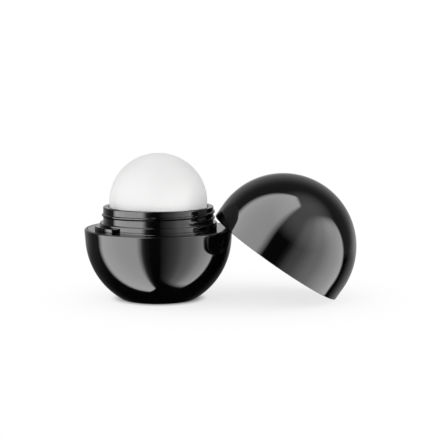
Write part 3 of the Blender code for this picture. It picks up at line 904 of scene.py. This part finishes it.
def only_for(light, pieces):
    """Keeps a lamp's light to some pieces, and returns their collection."""
    group = bpy.data.collections.new(light.name + "_on")
    for piece in pieces:
        group.objects.link(piece)
    light.light_linking.receiver_collection = group
    return group


def only_in_gloss(light, pieces):
    """Shows a lamp only in the gloss of some pieces, and returns its nodes for its pattern."""
    light.visible_diffuse = False
    light.visible_transmission = False
    only_for(light, pieces)
    light.data.use_nodes = True
    return light.data.node_tree


def soft_box(name, light, size, strength, lean, middle, pieces):
    """A tall soft box seen only in the gloss of some pieces, at the azimuths of its light.

    Its light is pairs of degrees right of the camera's side and brightness; an azimuth a lies
    at tan(a - mid azimuth) times the box's distance along its width. Up and down, the light is
    even for a share of the height each way and falls off to the ends; size names both. The box
    may lean with the cap, about the Y axis through the piece's middle.
    """
    height, even_share = BOX_HEIGHTS[size], BOX_EVEN_SHARES[size]
    azimuths = np.radians([degrees for degrees, _ in light])
    brightest = max(brightness for _, brightness in light)
    azimuth = (azimuths[0] + azimuths[-1]) / 2
    width = 2 * BOX_DISTANCE * math.tan((azimuths[-1] - azimuths[0]) / 2)
    direction = np.array([math.sin(azimuth), -math.cos(azimuth), 0.0])
    leaning = np.array(
        [
            [math.cos(lean), 0.0, math.sin(lean)],
            [0.0, 1.0, 0.0],
            [-math.sin(lean), 0.0, math.cos(lean)],
        ]
    )
    box = area_lamp(
        name, "RECTANGLE", width, strength * brightest * width * height * math.pi,
        middle + BOX_DISTANCE * leaning @ direction, (math.pi / 2, lean, azimuth), "XZY",
    )
    box.data.size_y = height
    tree = only_in_gloss(box, pieces)
    nodes, links = tree.nodes, tree.links
    emission = nodes["Emission"]
    place = nodes.new("ShaderNodeNewGeometry")
    across = nodes.new("ShaderNodeSeparateXYZ")
    links.new(place.outputs["Parametric"], across.inputs["Vector"])
    ramp = nodes.new("ShaderNodeValToRGB")
    links.new(across.outputs["X"], ramp.inputs["Fac"])
    links.new(ramp.outputs["Color"], emission.inputs["Color"])
    stops = ramp.color_ramp.elements
    while len(stops) < len(light):
        stops.new(1.0)
    shares = 0.5 + np.tan(azimuths - azimuth) * BOX_DISTANCE / width
    for stop, share, (_, brightness) in zip(stops, shares, light):
        stop.position = share
        stop.color = (*(brightness / brightest,) * 3, 1.0)
    off = worked(tree, "ABSOLUTE", worked(tree, "SUBTRACT", across.outputs["Y"], 0.5))
    links.new(ranged(tree, off, (even_share, 0.5), (1.0, 0.0)), emission.inputs["Strength"])


def glow(name, strength, width, even_share, direction, middle, pieces):
    """A soft light in one direction from a piece, seen only in its gloss, that fades outwards.

    Its brightness falls as a smooth step of the distance from its middle, from an even share
    of its width to half the width.
    """
    toward = direction / np.linalg.norm(direction)
    across, along, up = toward
    light = area_lamp(
        name, "SQUARE", width, strength * width * width * math.pi,
        middle + BOX_DISTANCE * toward, (0.0, math.acos(up), math.atan2(along, across)),
    )
    tree = only_in_gloss(light, pieces)
    place = tree.nodes.new("ShaderNodeNewGeometry")
    off = distance(tree, place.outputs["Parametric"], (0.5, 0.5, 0.0))
    fade = ranged(tree, off, (even_share, 0.5), (1.0, 0.0))
    tree.links.new(fade, tree.nodes["Emission"].inputs["Strength"])


def balm_fill(name, azimuth, energy, pieces):
    """A soft lamp from before and below, at an azimuth right of the camera, for the balm.

    Only the balm takes its light and only the balm shades it.
    """
    level, down = math.cos(FILL_DROP), math.sin(FILL_DROP)
    direction = np.array([level * math.sin(azimuth), -level * math.cos(azimuth), -down])
    fill = area_lamp(
        name, "DISK", FILL_SIZE, energy, np.array([0.0, 0.0, LIP]) + BOX_DISTANCE * direction,
        (math.pi / 2 + FILL_DROP, 0.0, azimuth),
    )
    fill.visible_glossy = False
    fill.light_linking.blocker_collection = only_for(fill, pieces)


def key_lamp():
    """One large soft lamp, up and to the left, that shades the balm and the floor softly."""
    key = area_lamp(
        "key", "DISK", KEY_LAMP_SIZE, KEY_LAMP_ENERGY, KEY_LAMP_PLACE, KEY_LAMP_TURN
    )
    key.visible_glossy = False


def floor():
    """A wide pale floor: a matt white that keeps the soft shadow, lit up to white for the camera.

    Its share of plain white is a smooth step of the distance from the middle of pot and cap,
    which reaches 1 past the cap, times another from the foot's edge outwards.
    """
    sides = np.array([(-1.0, -1.0, 0.0), (1.0, -1.0, 0.0), (1.0, 1.0, 0.0), (-1.0, 1.0, 0.0)])
    plane = shown("floor", FLOOR_HALF * sides, [[0, 1, 2, 3]])
    material = bpy.data.materials.new("floor_white")
    material.use_nodes = True
    tree = material.node_tree
    nodes, links = tree.nodes, tree.links
    nodes.remove(nodes["Principled BSDF"])
    matt = nodes.new("ShaderNodeBsdfDiffuse")
    matt.inputs["Color"].default_value = FLOOR_COLOR
    white = nodes.new("ShaderNodeEmission")
    white.inputs["Strength"].default_value = 1.0
    rays = nodes.new("ShaderNodeLightPath")
    place = nodes.new("ShaderNodeTexCoord").outputs["Object"]
    far = ranged(tree, distance(tree, place, FLOOR_MIDDLE), FLOOR_SPAN, (FLOOR_SHARE, 1.0))
    near = ranged(tree, distance(tree, place, (0.0, 0.0, 0.0)), FOOT_SPAN, (FOOT_SHARE, 1.0))
    both = worked(tree, "MULTIPLY", far, near)
    share = worked(tree, "MULTIPLY", rays.outputs["Is Camera Ray"], both)
    mix = nodes.new("ShaderNodeMixShader")
    links.new(share, mix.inputs["Fac"])
    links.new(matt.outputs["BSDF"], mix.inputs[1])
    links.new(white.outputs["Emission"], mix.inputs[2])
    links.new(mix.outputs["Shader"], nodes["Material Output"].inputs["Surface"])
    plane.data.materials.append(material)
    plane.visible_glossy = False


def world():
    """White where the camera looks past the floor; in the gloss, a pale wall behind the pot.

    In the gloss the light is (dim + (wall + straight) level) (1 - shade), each a smooth step of
    the direction: dim rises with Z and to the back, wall and straight are the pale wall behind,
    brightest straight behind and above, level ends the wall below, and shade darkens it low at
    the right. Matt surfaces take an even white from all round.
    """
    sky = bpy.data.worlds.new("studio")
    sky.use_nodes = True
    bpy.context.scene.world = sky
    tree = sky.node_tree
    nodes, links = tree.nodes, tree.links
    background = nodes["Background"]
    rays = nodes.new("ShaderNodeLightPath")
    place = nodes.new("ShaderNodeTexCoord")
    axes = nodes.new("ShaderNodeSeparateXYZ")
    links.new(place.outputs["Generated"], axes.inputs["Vector"])
    x, y, z = axes.outputs
    dim = worked(tree, "MULTIPLY", ranged(tree, z, *DIM_RISE_Z), ranged(tree, y, *DIM_BEHIND_Y))
    straight = worked(tree, "MULTIPLY", ranged(tree, y, *STRAIGHT_Y), ranged(tree, z, *STRAIGHT_Z))
    wall = worked(tree, "ADD", ranged(tree, y, *WALL_Y), straight)
    level_wall = worked(tree, "MULTIPLY", wall, ranged(tree, z, *WALL_Z))
    shade = worked(tree, "MULTIPLY", ranged(tree, x, *SHADE_X), ranged(tree, z, *SHADE_Z))
    unshaded = worked(tree, "SUBTRACT", 1.0, shade)
    behind = worked(tree, "MULTIPLY", worked(tree, "ADD", dim, level_wall), unshaded)
    camera_ray = rays.outputs["Is Camera Ray"]
    gloss_ray = rays.outputs["Is Glossy Ray"]
    mirrored = worked(tree, "ADD", gloss_ray, rays.outputs["Is Transmission Ray"])
    seen = worked(tree, "ADD", camera_ray, worked(tree, "MULTIPLY", mirrored, behind))
    plain = worked(tree, "SUBTRACT", 1.0, worked(tree, "ADD", camera_ray, mirrored))
    light = worked(tree, "ADD", seen, worked(tree, "MULTIPLY", plain, WORLD_LIGHT))
    links.new(light, background.inputs["Strength"])
    background.inputs["Color"].default_value = (1.0, 1.0, 1.0, 1.0)


black = polished_black()
inner_black = insert_black()
lining = liner_black()
wax = white_balm()
pot_black = [
    dressed(bowl(), "pot", "base_bowl", black),
    dressed(collar(), "pot", "neck_collar", inner_black),
    dressed(stop_lug(), "pot", "neck_collar", inner_black),
]
pot_white = [
    dressed(balm_dome(), "pot", "balm", wax),
    dressed(balm_underlayer(), "pot", "balm", wax),
]
pot_white += [dressed(stub, "pot", "balm", wax) for stub in balm_keys()]
cap_black = [
    dressed(cap_shell(), "cap", "cap_shell", black),
    dressed(cap_liner(), "cap", "cap_liner", lining),
    dressed(stop_tooth(), "cap", "cap_liner", lining),
]
plate = frame["nodes"]["balm_plate"]
plate.material_slots[0].material = plate_black()

bpy.context.scene.view_settings.view_transform = "Standard"
camera()
floor()
world()
key_lamp()
pot_middle = np.array([0.0, 0.0, BOWL_MIDDLE])
cap_rim_middle = np.array([CAP_RIM_X, 0.0, CAP_RIM_Z])
cap_axis = np.array([math.sin(LEAN), 0.0, math.cos(LEAN)])
cap_middle = cap_rim_middle + CAP_SKIRT_HEIGHT * cap_axis
for owner, strength, pieces in (("pot", 1.0, pot_black), ("balm", BALM_BOX_SHARE, pot_white)):
    soft_box(owner + "_left_box", LEFT_BOX, "pot_left", strength, 0.0, pot_middle, pieces)
    soft_box(owner + "_right_box", RIGHT_BOX, "pot_right", strength, 0.0, pot_middle, pieces)
left_lean = LEAN + CAP_LEFT_TURN
soft_box("cap_left_box", CAP_LEFT_BOX, "cap_left", 1.0, left_lean, cap_middle, cap_black)
soft_box("cap_right_box", CAP_RIGHT_BOX, "cap_right", 1.0, LEAN, cap_middle, cap_black)
overhead = math.cos(OVERHEAD_TILT) * cap_axis - math.sin(OVERHEAD_TILT) * np.array([0.0, 1.0, 0.0])
glow(
    "cap_overhead", OVERHEAD_STRENGTH, OVERHEAD_WIDTH, OVERHEAD_EVEN_SHARE,
    overhead, cap_middle, cap_black,
)
glow(
    "cap_side_glow", SIDE_GLOW_STRENGTH, SIDE_GLOW_WIDTH, SIDE_GLOW_EVEN_SHARE,
    SIDE_GLOW_DIRECTION, cap_middle, cap_black,
)
balm_fill("balm_fill_right", RIGHT_FILL_AZIMUTH, RIGHT_FILL_ENERGY, pot_white)
balm_fill("balm_fill_left", LEFT_FILL_AZIMUTH, LEFT_FILL_ENERGY, pot_white)
